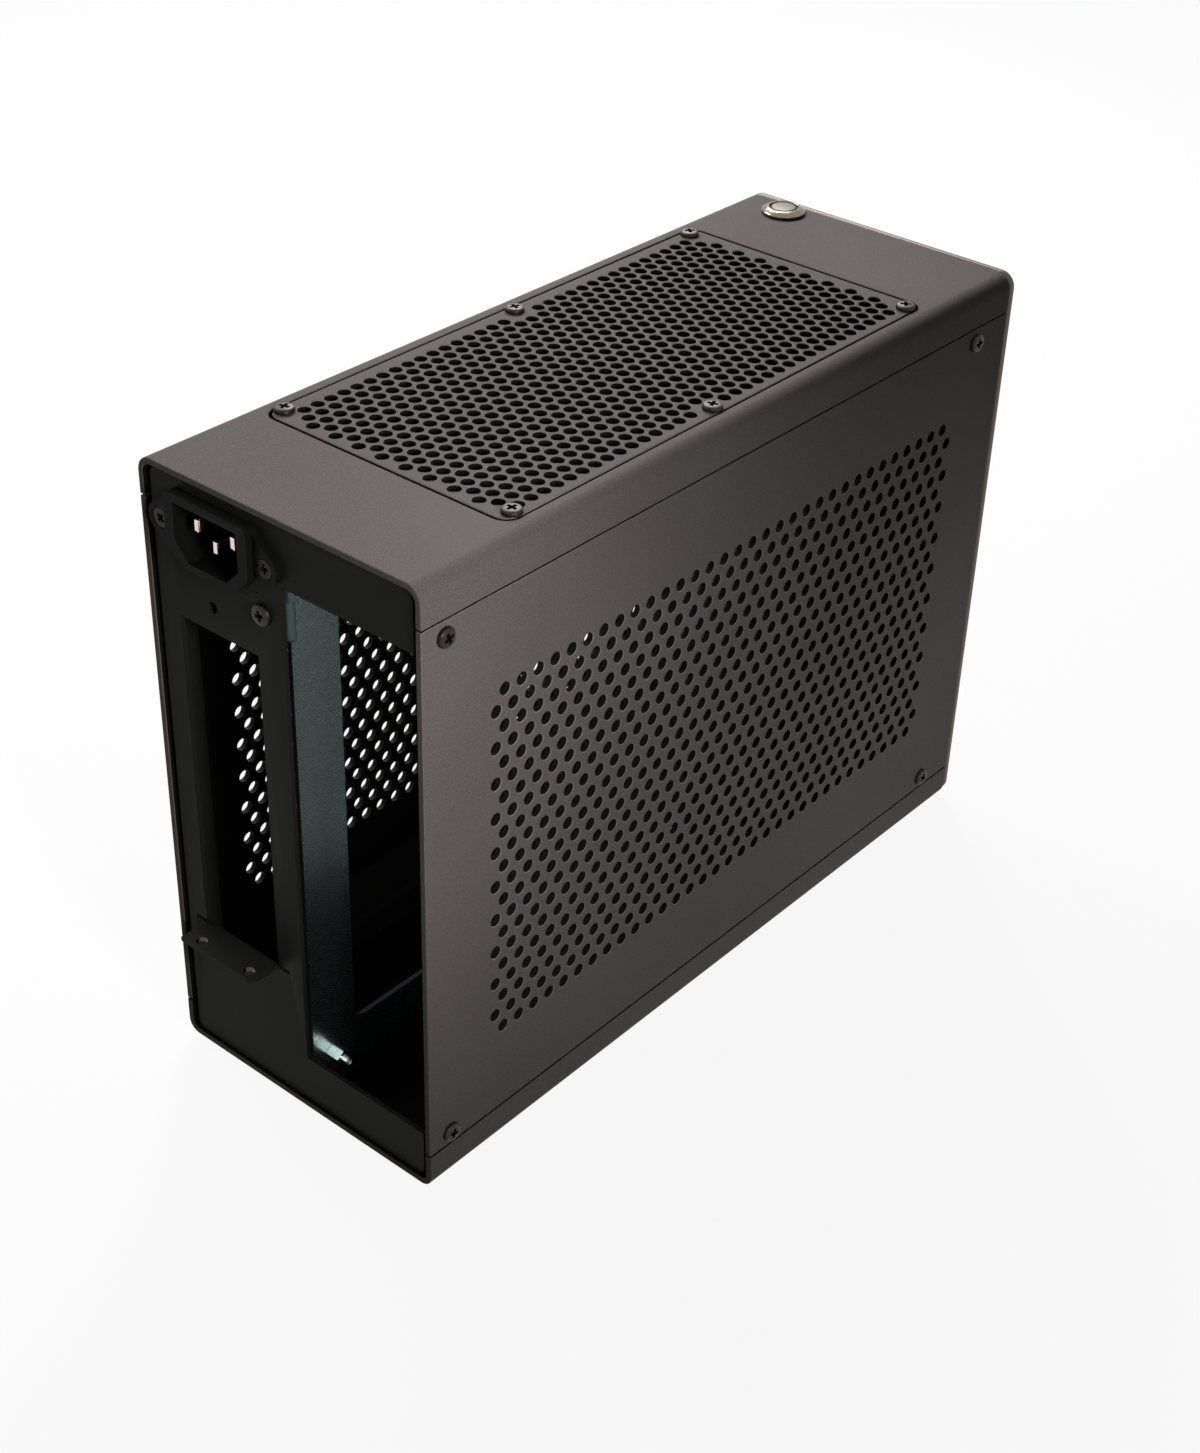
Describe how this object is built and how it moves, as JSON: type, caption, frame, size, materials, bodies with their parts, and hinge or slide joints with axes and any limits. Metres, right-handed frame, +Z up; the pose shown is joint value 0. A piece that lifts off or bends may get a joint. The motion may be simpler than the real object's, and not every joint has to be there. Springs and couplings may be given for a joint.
{
  "type": "computer case",
  "caption": "Slim upright computer case with perforated side and top panels, a central spine between board and card compartments, a rear mains inlet and a push button.",
  "frame": {"origin": "on the surface under the feet, in the middle of the whole outline with the rear tab", "axes": "+X across the case towards the graphics card side, +Y to the rear panel, +Z up"},
  "size_m": [0.108, 0.2786, 0.2041],
  "materials": {
    "shell_coat": "satin powder coat with a fine speckle, dark warm grey",
    "front_coat": "satin powder coat with a bright cut edge",
    "chassis_coat": "matt black powder coat",
    "spine_metal": "bare sheet, a dull mirror",
    "dark_screw": "dark nickel plating",
    "standoff_brass": "nickel plated, turned",
    "inlet_plastic": "moulded, matt black",
    "contact_metal": "tinned brass",
    "button_nickel": "turned, warm nickel",
    "button_plastic": "moulded, black",
    "light_ring": "smoked translucent plastic",
    "spring_steel": "spring wire",
    "foot_rubber": "matt black rubber"
  },
  "bodies": {
    "case": {"top_cover": "shell_coat", "top_vent_plate": "shell_coat", "board_side_panel": "shell_coat", "gpu_side_panel": "shell_coat", "bottom_tray": "shell_coat", "front_panel": "front_coat", "rear_panel": "chassis_coat", "front_chassis": "chassis_coat", "upper_rail_board_side": "chassis_coat", "upper_rail_gpu_side": "chassis_coat", "lower_rail_board_side": "chassis_coat", "lower_rail_gpu_side": "chassis_coat", "spine": "spine_metal", "vent_screws": "dark_screw", "side_panel_screws": "dark_screw", "rear_panel_screw": "dark_screw", "front_panel_screws": "dark_screw", "spine_floor_screws": "dark_screw", "inlet_screws": "dark_screw", "inlet_nuts": "dark_screw", "board_standoffs": "standoff_brass", "inlet_housing": "inlet_plastic", "inlet_blades": "contact_metal", "button_terminals": "contact_metal", "button_bezel": "button_nickel", "button_nut": "button_nickel", "button_contact_block": "button_plastic", "button_light_ring": "light_ring", "button_spring": "spring_steel", "rubber_feet": "foot_rubber", "button_seal": "foot_rubber"},
    "plunger": {"button_plunger": "button_nickel"}
  },
  "joints": [
    {"name": "button_press", "type": "slide", "parent": "case", "child": "plunger", "axis": [0, 0, -1], "range_m": [0, 0.0012], "stiffness_N_per_m": 2000, "deforming": ["button_spring"]}
  ]
}
